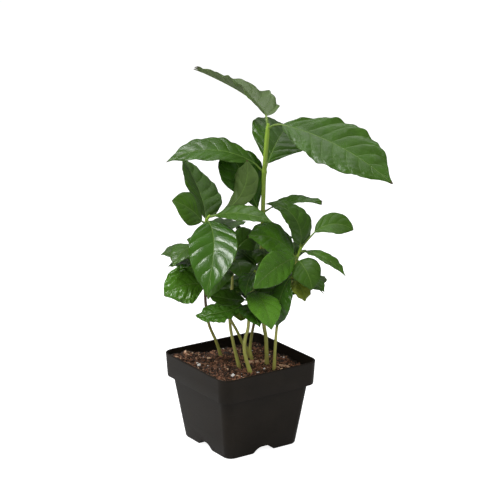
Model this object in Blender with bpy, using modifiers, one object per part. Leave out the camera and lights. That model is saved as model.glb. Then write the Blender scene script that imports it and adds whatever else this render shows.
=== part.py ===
# Potted coffee plant: seven young seedlings in a square nursery pot.
# Metres, +Z up. The origin is the middle of the pot's underside and the pot's sides lie along X and Y.
import bpy
import bmesh
import math
from mathutils import Matrix, Vector, noise

MM = 0.001
CLEAR = 0.3 * MM              # gap left between pieces that meet
SHARP_ANGLE = 40              # degrees; creases sharper than this stay sharp

# ---- pot ----
POT_RIM = 114.3 * MM          # outer width of the square at the rim
POT_HEIGHT = 89 * MM
POT_BASE = 84 * MM            # outer width of the square underneath
POT_WALL = 1.4 * MM
COLLAR_BOTTOM = 64.5 * MM     # height at which the collar steps out from the tapered body
COLLAR_WIDTH = 111.8 * MM     # outer width at the collar's lower edge
BODY_TOP_WIDTH = 102.6 * MM   # outer width of the body just under the collar
LIP_HEIGHT = 1.6 * MM
CORNER_RADIUS_SHARE = 0.20    # corner radius as a share of half the width
CORNER_SEGMENTS = 5
NOTCH_WIDTH = 26 * MM         # drain notches in the middle of each lower edge
NOTCH_HEIGHT = 6.3 * MM
NOTCH_SLOPE = 0.5             # how much narrower a notch is at its top than at the ground
NOTCH_DEPTH = 12 * MM
NOTCH_ROUND = 0.6             # how much of a notch's height its upper corners round off

# ---- soil ----
SOIL_TOP = 78 * MM
SOIL_PLAY = 0.8 * MM          # how much narrower the soil is than the inside of the pot
SOIL_SPREAD = 0.2 * MM        # how much wider it is at the top than the collar's lower edge
SOIL_BUMPS = 3 * MM           # how far the surface rises and falls
SOIL_CELLS = 12
FOOT_LEVEL = 11 * MM          # the soil is level this far round each stem's foot
FOOT_BLEND = 12 * MM          # and takes its full bumps this much further out
SOIL_NOISE_SCALE = 60         # bumps per metre, roughly

# ---- stems and leaf stalks ----
PLANT_TURN = math.radians(-34.2)   # the seedlings' own axes, turned in the pot
STEM_STEP = 12 * MM           # spacing of the rings along a stem
ROUTE_STEP = 1 * MM           # spacing of the points along a stem's smooth route
STEM_GAP = 0.36 * MM          # gap between a bare stem and the leafy shoot that carries it on
STEM_JOINT = 2 * MM           # straight length on each side of the gap in a stem
FLARE_HEIGHT = 6 * MM         # height over which the root flare dies away
FLARE_SHARE = 0.35            # extra thickness at the very foot
STALK_WIDTH = 2.0 * MM        # leaf stalk where it leaves the stem
STALK_END_WIDTH = 1.1 * MM    # and where it ends inside the blade
STALK_STEPS = 2
STALK_IN_BLADE = 0.1          # share of the blade that the stalk runs on into
STALK_ROOT = 1.0 * MM         # distance from a shoot's axis at which a stalk's slope starts
PAIR_ROOT = 3.2 * MM          # the same on the tall stem, inside the wall of the pair's ring
RING_LENGTH = 7 * MM          # ring that carries a leaf pair round the tall stem
RING_WALL = 1.2 * MM
STALK_SUNK = 0.4 * MM         # how far a stalk starts inside that wall
BORE_PLAY = 0.8 * MM          # how much wider the bore is than the stem in it
BORE_REACH = 26 * MM          # how far a pair is kept clear of the tall stem, above and below

# ---- leaves ----
LEAF_CELL = 13 * MM           # length of a cell along the blade
LEAST_CELLS = 5
CELLS_ACROSS = 4
LEAF_THICKNESS_SHARE = 1 / 80
LEAF_LEAST_THICKNESS = 0.8 * MM
END_WIDTH_SHARE = 0.02        # width left at the blade's two ends
OUTLINE_FULLNESS = 0.8        # below 1 the outline fills out between its widest place and its ends
TIP_START = 0.8               # share of the length at which the drip tip starts to narrow
TIP_NARROWING = 0.62
LEAF_CURL = 0.1               # how far the margins roll back down
PATH_STEPS = 40               # steps along a blade's midrib


def leaf(at, turn, rise, arch, length, width, swing=0, roll=0, twist=0,
         stalk=6, stalk_rise=None, fold=8, belly=0.47):
    """One leaf: its height on the stem and sizes in millimetres, its angles in degrees.

    turn is the compass direction, rise the slope at the blade's base, arch how far it bends over
    towards the tip, swing how far it veers sideways, roll and twist how it tips about its midrib,
    fold how far both halves lift, and belly where along the blade it is widest.
    """
    return dict(at=at * MM, turn=turn, rise=rise, arch=arch, length=length * MM, width=width * MM,
                swing=swing, roll=roll, twist=twist, stalk=stalk * MM,
                stalk_rise=rise + 15 if stalk_rise is None else stalk_rise, fold=fold, belly=belly)


# Each seedling: the points its stem passes (mm, in the plant's own axes), its thickness at the foot
# and at the top, the height where the bare stem gives way to the leafy shoot, and its leaves.
SEEDLINGS = {
    "left": dict(
        route=[(-19, 25, 78), (-24, 22, 96), (-31, 18, 115), (-34, 13, 136), (-35, 8, 160),
               (-35, 3, 191), (-34, 0, 214), (-33, -2, 228), (-29, -3, 235)],
        foot=3.1, top=2.5, bare=150,
        leaves=[
            leaf(233, -11, 25, -76, 66, 35, swing=8, roll=38, twist=11, stalk=10, stalk_rise=20, fold=6,
                 belly=0.66),
            leaf(233, -40, 22, 40, 68, 22, swing=15, roll=31, stalk=8, stalk_rise=15, fold=15),
            leaf(229, -70, -18, 47, 89, 48, swing=-48, roll=1, twist=12, stalk_rise=30, fold=13,
                 belly=0.43),
            leaf(226, 93, 22, -19, 94, 45, swing=36, roll=24, twist=5, stalk=5, stalk_rise=70, fold=20),
            leaf(226, 198, 57, 40, 38, 46, swing=-6, roll=-36, twist=8, stalk=4, stalk_rise=30, fold=5),
            leaf(200, 60, 37, 69, 74, 36),
            leaf(200, 235, 25, 75, 50, 28),
        ]),
    "leaning": dict(
        route=[(9, 27, 78), (8, 26, 86), (3, 25, 93), (-3, 23, 107), (-10, 21, 121), (-18, 19, 139),
               (-27, 17, 160), (-34, 15, 178), (-36, 14, 190)],
        foot=3.1, top=2.3, bare=146,
        leaves=[
            leaf(187, 20, 45, 60, 35, 20),
            leaf(185, 187, 27, 41, 39, 28, roll=-17, stalk=5, stalk_rise=20, fold=12),
            leaf(182, 95, 40, 80, 60, 32),
            leaf(174, 189, 35, 59, 36, 32, swing=8, roll=-6, twist=3, stalk=5, stalk_rise=25, fold=5),
            leaf(154, 195, 17, 57, 44, 42, roll=-42, twist=-8, stalk=11, stalk_rise=30, fold=6),
            leaf(155, 114, 17, 81, 58, 31, roll=18, stalk_rise=35),
        ]),
    "middle": dict(
        route=[(-1, -3, 78), (-7, -3, 105), (-10, -3, 125), (-10, -3, 143), (-8, -3, 158),
               (-7, -2, 178), (-5, -2, 200)],
        foot=3.4, top=2.4, bare=126,
        leaves=[
            leaf(197, 41, 47, 65, 29, 26, roll=52, twist=5, stalk=4, stalk_rise=50, fold=5),
            leaf(188, -75, 15, 75, 32, 24),
            leaf(177, -120, 20, 90, 50, 28),
            leaf(156, -21, -2, 72, 40, 22, stalk_rise=20),
            leaf(131, 18, 0, 30, 15, 13, roll=34, stalk=3, stalk_rise=30, fold=5),
        ]),
    "front": dict(
        route=[(11, -27, 78), (5, -27, 100), (5, -27, 114), (8, -27, 126), (9, -27, 140),
               (10, -27, 156), (12, -26, 167), (14, -26, 175), (15, -26, 186)],
        foot=3.8, top=2.5, bare=142,
        leaves=[
            leaf(183, -107, 6, 65, 35, 20, swing=3, roll=-4, stalk=4, stalk_rise=25, fold=10),
            leaf(166, 97, 40, 61, 40, 23, roll=-9),
            leaf(166, -66, -9, 68, 47, 38, swing=14, roll=-9, twist=2, stalk=6, stalk_rise=15),
            leaf(155, 178, -1, -16, 37, 22, swing=-9, roll=-34, stalk=4, stalk_rise=20, fold=15),
            leaf(152, -89, 8, 50, 40, 27, swing=30, roll=-8, twist=7, stalk=4, stalk_rise=0),
            leaf(152, 48, 46, 37, 35, 23, roll=18, stalk=6, stalk_rise=24),
            leaf(150, 179, -23, -17, 50, 28, swing=-17, roll=-34, stalk=5, stalk_rise=15, fold=12),
        ]),
    "back": dict(
        route=[(12, 18, 78), (10, 18, 89), (12, 19, 106), (15, 20, 122), (17, 22, 140),
               (18, 24, 161), (19, 26, 183)],
        foot=3.1, top=2.4, bare=128,
        leaves=[
            leaf(179, 104, 48, 87, 63, 39, swing=4, roll=37, stalk_rise=60),
            leaf(176, 82, 49, 33, 49, 44, swing=-8, roll=-16, twist=-8, stalk=5, stalk_rise=60, fold=5),
            leaf(172, 124, 24, 33, 57, 39, roll=-22, stalk=5, stalk_rise=37),
            leaf(156, 29, 24, 76, 60, 32),
            leaf(147, 174, 23, 60, 39, 23, roll=-33, stalk=5, stalk_rise=34),
            leaf(156, 137, 27, 69, 58, 30),
            leaf(137, 85, 15, 70, 50, 28),
            leaf(135, 28, 44, 74, 54, 34, roll=19, stalk=7, stalk_rise=29),
        ]),
    "right": dict(
        route=[(34, -12, 78), (35, -12, 102), (37, -12, 126), (42, -14, 148), (49, -14, 167),
               (53, -16, 179), (56, -17, 195), (60, -18, 207)],
        foot=3.0, top=2.4, bare=160,
        leaves=[
            leaf(205, 16, 41, 79, 42, 30, swing=-15, roll=26, twist=9, stalk=20, stalk_rise=58, fold=12,
                 belly=0.55),
            leaf(205, 152, 103, 111, 61, 33, swing=17, roll=-20, twist=5, stalk=4, stalk_rise=85, fold=12,
                 belly=0.35),
            leaf(205, 75, 70, 40, 12, 5, stalk=3),
            leaf(202, -31, 2, 47, 51, 19, roll=5, stalk=4, stalk_rise=25, fold=15),
            leaf(196, 239, 4, 24, 81, 30, roll=-58, twist=-5, stalk=4, stalk_rise=20, fold=10),
            leaf(196, 188, 59, 68, 54, 42, swing=12, roll=-34, stalk=4, stalk_rise=20, fold=5),
            leaf(193, -74, 4, 94, 38, 28, swing=35, roll=29, twist=3, stalk=6, stalk_rise=20),
            leaf(194, 97, 32, 88, 49, 24, roll=-14, stalk=8, stalk_rise=24),
            leaf(189, 97, 15, 60, 58, 30, stalk_rise=55),
            leaf(178, -142, -45, 46, 52, 33, swing=26, roll=9, stalk=4, stalk_rise=-10),
            leaf(173, -24, 12, 55, 33, 26, swing=-11, roll=5, stalk=4, stalk_rise=10, fold=5),
            leaf(173, -60, -8, 74, 26, 22, swing=12, stalk=4),
            leaf(167, 50, 21, 79, 55, 30, stalk_rise=35),
        ]),
    "tall": dict(
        route=[(27, 7, 78), (26, 7, 105), (24, 7, 118), (22, 7, 145), (21, 7, 176), (22, 7, 207),
               (23, 7, 248), (24, 7, 276), (27, 7, 317), (28, 7, 324)],
        foot=3.7, top=4.5, bare=313,
        leaves=[
            leaf(319, 100, 16, -9, 107, 50, swing=86, roll=19, twist=-4, stalk=14, stalk_rise=89, fold=28,
                 belly=0.39),
            leaf(319, -28, -7, 24, 131, 60, swing=-12, roll=30, twist=-4, stalk=16, stalk_rise=45, fold=10),
        ]),
}

# Leaf pairs that the tall stem carries on its way up, each pair a mass round the whole stem.
TALL_PAIRS = {
    "upper": [
        leaf(276, 65, 44, 56, 82, 59, swing=14, roll=24, stalk=8, stalk_rise=75, belly=0.55),
        leaf(275, 168, 32, 64, 93, 35, swing=13, roll=-23, twist=-9, stalk=10, stalk_rise=80, fold=12),
    ],
    "second": [
        leaf(235, 14, 20, 34, 52, 24, swing=-15, roll=6, stalk=7, stalk_rise=60, fold=18),
        leaf(233, 146, 62, 12, 70, 50, swing=-10, roll=-15, twist=-3, stalk_rise=60, belly=0.57),
    ],
    "third": [
        leaf(197, 30, 35, 65, 34, 22, stalk_rise=60),
        leaf(197, -85, 20, 90, 36, 24, stalk_rise=35),
    ],
    "lower": [
        leaf(162, 11, 19, 74, 63, 32, stalk_rise=40),
        leaf(162, 165, 20, 70, 40, 24, stalk_rise=40),
    ],
}

to_pot = Matrix.Rotation(PLANT_TURN, 4, 'Z')


# ---- scene, collections and materials ----
def clear_scene():
    for thing in list(bpy.data.objects):
        bpy.data.objects.remove(thing, do_unlink=True)


def new_collection(name):
    collection = bpy.data.collections.new(name)
    bpy.context.scene.collection.children.link(collection)
    return collection


def material(name, colour, roughness):
    made = bpy.data.materials.new(name)
    made.use_nodes = True
    shader = made.node_tree.nodes["Principled BSDF"]
    shader.inputs["Base Color"].default_value = (*colour, 1)
    shader.inputs["Roughness"].default_value = roughness
    made.diffuse_color = (*colour, 1)
    return made


def object_from(bm, name, collection):
    mesh = bpy.data.meshes.new(name)
    bm.to_mesh(mesh)
    bm.free()
    made = bpy.data.objects.new(name, mesh)
    collection.objects.link(made)
    return made


def settled(thing, name, collection, look=None):
    """The object with its modifiers applied, as a mesh of its own; the first object goes."""
    bpy.context.view_layer.update()
    seen = thing.evaluated_get(bpy.context.evaluated_depsgraph_get())
    mesh = bpy.data.meshes.new_from_object(seen)
    mesh.name = name
    place = thing.matrix_world.copy()
    bpy.data.objects.remove(thing, do_unlink=True)
    bm = bmesh.new()
    bm.from_mesh(mesh)
    bmesh.ops.remove_doubles(bm, verts=bm.verts, dist=1e-6)
    bm.to_mesh(mesh)
    bm.free()
    made = bpy.data.objects.new(name, mesh)
    made.matrix_world = place
    collection.objects.link(made)
    if look:
        dress(made, look)
    return made


def dress(thing, look):
    thing.data.materials.clear()
    thing.data.materials.append(look)
    thing.data.shade_smooth()
    thing.data.set_sharp_from_angle(angle=math.radians(SHARP_ANGLE))


# ---- pot and soil ----
def rounded_square(bm, width, z):
    """A flat face with rounded corners, its middle on the Z axis."""
    half = width / 2
    bmesh.ops.create_grid(bm, x_segments=1, y_segments=1, size=half)
    bmesh.ops.bevel(bm, geom=list(bm.verts), offset=half * CORNER_RADIUS_SHARE, affect='VERTICES',
                    segments=CORNER_SEGMENTS, profile=0.5, material=-1)
    bmesh.ops.translate(bm, verts=bm.verts, vec=(0, 0, z))
    bm.faces.ensure_lookup_table()
    return bm.faces[0]


def stacked_body(stations):
    """A closed rounded-square body that passes through each (width, height) in turn."""
    bm = bmesh.new()
    face = rounded_square(bm, *stations[0])
    bmesh.ops.duplicate(bm, geom=[face])           # stays behind as the first face of the body
    bm.faces.ensure_lookup_table()
    face = bm.faces[0]
    for (width_now, _), (width, z) in zip(stations, stations[1:]):
        face = bmesh.ops.extrude_discrete_faces(bm, faces=[face])["faces"][0]
        for vert in face.verts:
            vert.co = Vector((vert.co.x * width / width_now, vert.co.y * width / width_now, z))
    bmesh.ops.remove_doubles(bm, verts=bm.verts, dist=1e-6)
    bmesh.ops.recalc_face_normals(bm, faces=bm.faces)
    return bm


def make_pot(collection, cutters, look):
    bm = stacked_body([
        (POT_BASE, 0),
        (BODY_TOP_WIDTH, COLLAR_BOTTOM),
        (COLLAR_WIDTH, COLLAR_BOTTOM),
        (POT_RIM, POT_HEIGHT - LIP_HEIGHT),
        (POT_RIM - POT_WALL / 2, POT_HEIGHT),
        (POT_RIM - 3 * POT_WALL / 2, POT_HEIGHT),
        (POT_RIM - 2 * POT_WALL, POT_HEIGHT - LIP_HEIGHT),
        (COLLAR_WIDTH - 2 * POT_WALL, COLLAR_BOTTOM + POT_WALL),
        (BODY_TOP_WIDTH - 2 * POT_WALL, COLLAR_BOTTOM + POT_WALL),
        (POT_BASE - 2 * POT_WALL, POT_WALL),
    ])
    pot = object_from(bm, "pot_uncut", collection)
    for side in range(4):
        bm = bmesh.new()
        bmesh.ops.create_cube(bm, size=1)
        bmesh.ops.scale(bm, verts=bm.verts, vec=(2 * NOTCH_DEPTH, NOTCH_WIDTH, 2 * NOTCH_HEIGHT))
        for v in bm.verts:
            v.co.y *= 1 - math.copysign(NOTCH_SLOPE, v.co.z)
        along = [e for e in bm.edges if abs(e.verts[0].co.x - e.verts[1].co.x) > NOTCH_DEPTH]
        bmesh.ops.bevel(bm, geom=along, offset=NOTCH_HEIGHT * NOTCH_ROUND, affect='EDGES', segments=3,
                        profile=0.5, material=-1)
        bmesh.ops.translate(bm, verts=bm.verts, vec=(POT_BASE / 2, 0, 0))
        bmesh.ops.transform(bm, matrix=Matrix.Rotation(side * math.pi / 2, 4, 'Z'), verts=bm.verts)
        notch = object_from(bm, "notch_%d" % side, cutters)
        notch.hide_render = True
        notch.display_type = 'WIRE'
        cut = pot.modifiers.new("drain_notch", 'BOOLEAN')
        cut.operation = 'DIFFERENCE'
        cut.solver = 'EXACT'
        cut.object = notch
    return settled(pot, "pot", collection, look)


def soil_height(x, y, feet):
    nearest = min(math.hypot(x - fx, y - fy) for fx, fy in feet)
    share = min(1, max(0, (nearest - FOOT_LEVEL) / FOOT_BLEND))
    bump = noise.noise(Vector((x, y, 0)) * SOIL_NOISE_SCALE)
    return SOIL_TOP + SOIL_BUMPS * share * bump


def make_soil(collection, look, feet):
    bottom = POT_WALL + CLEAR
    shoulder = COLLAR_BOTTOM + POT_WALL + CLEAR
    bm = stacked_body([
        (POT_BASE - 2 * POT_WALL - SOIL_PLAY, bottom),
        (BODY_TOP_WIDTH - 2 * POT_WALL - SOIL_PLAY, shoulder),
        (COLLAR_WIDTH - 2 * POT_WALL - SOIL_PLAY, shoulder),
        (COLLAR_WIDTH - 2 * POT_WALL + SOIL_SPREAD, SOIL_TOP),
    ])
    for axis in (Vector((1, 0, 0)), Vector((0, 1, 0))):        # cut the top into a grid of cells
        for cell in range(1, SOIL_CELLS):
            top = [f for f in bm.faces if f.calc_center_median().z > SOIL_TOP - CLEAR]
            geom = top + list({e for f in top for e in f.edges}) + list({v for f in top for v in f.verts})
            place = (cell / SOIL_CELLS - 0.5) * COLLAR_WIDTH
            bmesh.ops.bisect_plane(bm, geom=geom, dist=1e-6, plane_co=axis * place, plane_no=axis)
    for vert in bm.verts:
        if vert.co.z > SOIL_TOP - CLEAR:
            vert.co.z = soil_height(vert.co.x, vert.co.y, feet)
    soil = object_from(bm, "soil_body", collection)
    return settled(soil, "soil", collection, look)


# ---- stems ----
def smooth_route(points):
    """Closely spaced points on a Catmull-Rom curve through the given ones, in metres."""
    pts = [Vector(p) * MM for p in points]
    pts = [2 * pts[0] - pts[1]] + pts + [2 * pts[-1] - pts[-2]]
    route = []
    for a, b, c, d in zip(pts, pts[1:], pts[2:], pts[3:]):
        steps = max(1, round((c - b).length / ROUTE_STEP))
        for i in range(steps):
            t = i / steps
            route.append(0.5 * (2 * b + (c - a) * t + (2 * a - 5 * b + 4 * c - d) * t ** 2
                                + (3 * b - a - 3 * c + d) * t ** 3))
    return route + [pts[-2]]


def at_height(route, z):
    """The point of the route at a height, and the route's direction there."""
    for low, high in zip(route, route[1:]):
        if high.z >= z or high is route[-1]:
            share = (z - low.z) / (high.z - low.z)
            return low.lerp(high, share), (high - low).normalized()


def stem_width(seedling, z):
    route = seedling["route"]
    share = (z - SOIL_TOP) / (route[-1][2] * MM - SOIL_TOP)
    width = seedling["foot"] * (1 - share) + seedling["top"] * share
    flare = 1 + FLARE_SHARE * math.exp(-(z - SOIL_TOP) / FLARE_HEIGHT)
    return width * MM * flare


def tube(name, points, widths, collection, resolution=2):
    """A round rod through the points with a width at each, as a mesh with closed ends."""
    data = bpy.data.curves.new(name, 'CURVE')
    data.dimensions = '3D'
    data.bevel_depth = 1
    data.bevel_resolution = resolution
    data.use_fill_caps = True
    spline = data.splines.new('POLY')
    spline.points.add(len(points) - 1)
    for point, co, width in zip(spline.points, points, widths):
        point.co = (*co, 1)
        point.radius = width / 2
    curve = bpy.data.objects.new(name, data)
    collection.objects.link(curve)
    return settled(curve, name, collection)


def stem_run(seedling, route, low, high, low_end, high_end):
    """Points along a stem between two heights; an end is 'flat', 'gap' or 'tip'."""
    steps = max(1, round((high - low) / STEM_STEP))
    points = [at_height(route, low + (high - low) * i / steps)[0] for i in range(1, steps)]
    start, start_way = at_height(route, low)
    end, end_way = at_height(route, high)
    if low_end == 'flat':
        points = [start, start + Vector((0, 0, STEM_JOINT))] + points
    else:
        points = [start + start_way * STEM_GAP / 2, start + start_way * STEM_JOINT] + points
    if high_end == 'gap':
        points += [end - end_way * STEM_JOINT, end - end_way * STEM_GAP / 2]
    else:
        points += [end]
    return points, [stem_width(seedling, p.z) for p in points]


def place(thing):
    """Turn a finished piece from the plant's own axes to the pot's, in its mesh."""
    thing.data.transform(to_pot)
    return thing


def make_stem(name, seedling, route, collection, look):
    points, widths = stem_run(seedling, route, SOIL_TOP + CLEAR, seedling["bare"] * MM, 'flat', 'gap')
    stem = tube(name, points, widths, collection)
    dress(stem, look)
    return place(stem)


# ---- leaves ----
def bearing(turn, slope):
    turn, slope = math.radians(turn), math.radians(slope)
    return Vector((math.cos(slope) * math.cos(turn), math.cos(slope) * math.sin(turn), math.sin(slope)))


def leaf_path(spec, joint, root):
    """The stalk's points, and the midrib's points with the side and upward directions at each."""
    stalk = [joint + bearing(spec["turn"], 0) * root]
    for i in range(STALK_STEPS):
        share = (i + 0.5) / STALK_STEPS
        slope = spec["stalk_rise"] * (1 - share) + spec["rise"] * share
        stalk.append(stalk[-1] + bearing(spec["turn"], slope) * spec["stalk"] / STALK_STEPS)
    shares = [i / PATH_STEPS for i in range(PATH_STEPS + 1)]
    ways = [bearing(spec["turn"] + spec["swing"] * t, spec["rise"] - spec["arch"] * t) for t in shares]
    midrib = []
    centre = stalk[-1].copy()
    for t, way, before in zip(shares, ways, [None] + ways):
        if before:
            centre = centre + (before + way) / 2 * spec["length"] / PATH_STEPS
        turn = math.radians(spec["turn"] + spec["swing"] * t)
        level = Vector((-math.sin(turn), math.cos(turn), 0))
        up = way.cross(level)
        tip = math.radians(spec["roll"] + spec["twist"] * t)
        midrib.append((centre, level * math.cos(tip) + up * math.sin(tip),
                       up * math.cos(tip) - level * math.sin(tip)))
    return stalk, midrib


def half_width(spec, t):
    """Half the blade's width at a share of its length: an ellipse-like outline with a drip tip."""
    swell = math.sin(math.pi * t ** (math.log(0.5) / math.log(spec["belly"]))) ** OUTLINE_FULLNESS
    narrow = min(1, max(0, (t - TIP_START) / (1 - TIP_START)))
    narrow = narrow * narrow * (3 - 2 * narrow)
    return spec["width"] / 2 * (swell * (1 - TIP_NARROWING * narrow) + END_WIDTH_SHARE)


def along(midrib, t):
    """The midrib's point, side and upward directions at a share of the blade's length."""
    low = min(int(t * PATH_STEPS), PATH_STEPS - 1)
    share = t * PATH_STEPS - low
    return [a.lerp(b, share) for a, b in zip(midrib[low], midrib[low + 1])]


def blade_point(spec, midrib, t, across):
    """A point of the blade: t along the midrib, across from -1 at one margin to 1 at the other."""
    centre, side, up = along(midrib, t)
    half = half_width(spec, t)
    fold = math.radians(spec["fold"])
    lift = abs(across) * half * math.sin(fold) - LEAF_CURL * across ** 2 * half
    return centre + side * across * half * math.cos(fold) + up * lift


def make_leaf(name, spec, joint, root, collection):
    """A blade and its stalk as two closed pieces that overlap, ready to be joined."""
    stalk, midrib = leaf_path(spec, joint, root)
    cells = max(LEAST_CELLS, round(spec["length"] / LEAF_CELL))
    bm = bmesh.new()
    bmesh.ops.create_grid(bm, x_segments=cells, y_segments=CELLS_ACROSS, size=0.5)
    for vert in bm.verts:
        vert.co = blade_point(spec, midrib, min(1, max(0, vert.co.x + 0.5)), 2 * vert.co.y)
    blade = object_from(bm, name + "_sheet", collection)
    shell = blade.modifiers.new("thickness", 'SOLIDIFY')
    shell.thickness = max(LEAF_LEAST_THICKNESS, spec["length"] * LEAF_THICKNESS_SHARE)
    shell.offset = 0
    settled(blade, name + "_blade", collection)

    inner = joint if root == STALK_ROOT else stalk[0] - bearing(spec["turn"], 0) * STALK_SUNK
    points = [inner] + stalk + [along(midrib, STALK_IN_BLADE)[0]]
    widths = [STALK_WIDTH + (STALK_END_WIDTH - STALK_WIDTH) * i / (len(points) - 1)
              for i in range(len(points))]
    tube(name + "_stalk", points, widths, collection, resolution=1)


# ---- masses of leaves ----
def join_mass(name, base, pieces, collection, look, bore=None):
    """Fuse a collection of blades and stalks onto their stem piece and cut the bore, if there is one."""
    join = base.modifiers.new("fused", 'BOOLEAN')
    join.operation = 'UNION'
    join.solver = 'MANIFOLD'
    join.operand_type = 'COLLECTION'
    join.collection = pieces
    if bore:
        cut = base.modifiers.new("bore", 'BOOLEAN')
        cut.operation = 'DIFFERENCE'
        cut.solver = 'MANIFOLD'
        cut.object = bore
    mass = settled(base, name, collection, look)
    for thing in list(pieces.objects):
        bpy.data.objects.remove(thing, do_unlink=True)
    bpy.data.collections.remove(pieces)
    return mass


def make_shoot(name, seedling, route, collection, look):
    top = seedling["route"][-1][2] * MM
    points, widths = stem_run(seedling, route, seedling["bare"] * MM, top, 'gap', 'tip')
    base = tube(name + "_stem", points, widths, collection)
    pieces = new_collection(name + "_leaves")
    for i, spec in enumerate(seedling["leaves"]):
        joint = at_height(route, spec["at"])[0]
        make_leaf("%s_leaf_%d" % (name, i), spec, joint, STALK_ROOT, pieces)
    return place(join_mass(name, base, pieces, collection, look))


def make_pair(name, leaves, seedling, route, collection, cutters, look):
    middle = sum(spec["at"] for spec in leaves) / len(leaves)
    outer = [at_height(route, middle + RING_LENGTH * share)[0] for share in (-0.5, 0, 0.5)]
    ring_width = [stem_width(seedling, p.z) + 2 * (CLEAR + RING_WALL) for p in outer]
    base = tube(name + "_ring", outer, ring_width, collection)
    heights = [middle + BORE_REACH * share / 4 for share in range(-4, 5)]
    run = [at_height(route, z)[0] for z in heights]
    bore = tube(name + "_bore", run, [stem_width(seedling, z) + BORE_PLAY for z in heights], cutters)
    bore.hide_render = True
    bore.display_type = 'WIRE'
    pieces = new_collection(name + "_leaves")
    for i, spec in enumerate(leaves):
        joint = at_height(route, spec["at"])[0]
        make_leaf("%s_leaf_%d" % (name, i), spec, joint, PAIR_ROOT, pieces)
    return place(join_mass(name, base, pieces, collection, look, bore))


# ---- the whole plant ----
def main():
    clear_scene()
    plant = new_collection("potted_coffee_plant")
    cutters = new_collection("cutters")
    pot_look = material("pot_plastic", (0.022, 0.021, 0.020), 0.45)
    soil_look = material("potting_mix", (0.050, 0.030, 0.020), 0.95)
    stem_look = material("green_stem", (0.30, 0.36, 0.12), 0.55)
    leaf_look = material("leaf_green", (0.055, 0.160, 0.030), 0.35)

    routes = {name: smooth_route(seedling["route"]) for name, seedling in SEEDLINGS.items()}
    feet = [(to_pot @ route[0]).xy for route in routes.values()]
    make_pot(plant, cutters, pot_look)
    make_soil(plant, soil_look, feet)
    for name, seedling in SEEDLINGS.items():
        make_stem("stem_" + name, seedling, routes[name], plant, stem_look)
        make_shoot("leaves_" + name, seedling, routes[name], plant, leaf_look)
    for name, leaves in TALL_PAIRS.items():
        make_pair("leaf_pair_" + name, leaves, SEEDLINGS["tall"], routes["tall"], plant, cutters, leaf_look)
    for thing in list(cutters.objects):
        bpy.data.objects.remove(thing, do_unlink=True)
    bpy.data.collections.remove(cutters)


main()
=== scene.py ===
import math
import random

import bmesh
import bpy
from mathutils import Matrix, Vector, noise


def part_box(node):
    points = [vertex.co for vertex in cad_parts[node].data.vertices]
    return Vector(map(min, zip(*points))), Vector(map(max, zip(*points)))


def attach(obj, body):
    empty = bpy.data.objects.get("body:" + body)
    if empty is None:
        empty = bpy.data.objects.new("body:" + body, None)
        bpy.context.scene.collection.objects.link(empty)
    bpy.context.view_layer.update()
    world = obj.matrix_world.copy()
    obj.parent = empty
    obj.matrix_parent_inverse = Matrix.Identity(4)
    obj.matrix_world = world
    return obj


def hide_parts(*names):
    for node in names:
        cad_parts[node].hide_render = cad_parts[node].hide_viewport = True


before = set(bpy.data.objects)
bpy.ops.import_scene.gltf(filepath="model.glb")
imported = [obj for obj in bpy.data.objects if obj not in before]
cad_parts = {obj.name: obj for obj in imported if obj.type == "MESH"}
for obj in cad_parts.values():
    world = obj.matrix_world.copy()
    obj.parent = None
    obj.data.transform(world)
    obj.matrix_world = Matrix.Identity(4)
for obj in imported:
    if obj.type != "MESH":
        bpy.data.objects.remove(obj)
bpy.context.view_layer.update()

mm = 0.001
weld = 1e-7                # points nearer than this are merged
plantTurn = -34.2          # degrees the seedlings' own axes are turned in the pot
toPot = Matrix.Rotation(math.radians(plantTurn), 4, 'Z')


class Wire:                                # a socket that adds and multiplies like a number
    def __init__(self, finish, socket):
        self.finish = finish
        self.socket = socket

    def sum(self, operation, first, second):
        return self.finish.node("ShaderNodeMath", {"operation": operation}, {0: first, 1: second})

    def __add__(self, other):
        return self.sum('ADD', self, other)

    def __sub__(self, other):
        return self.sum('SUBTRACT', self, other)

    def __rsub__(self, other):
        return self.sum('SUBTRACT', other, self)

    def __mul__(self, other):
        return self.sum('MULTIPLY', self, other)

    __radd__ = __add__
    __rmul__ = __mul__


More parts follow.
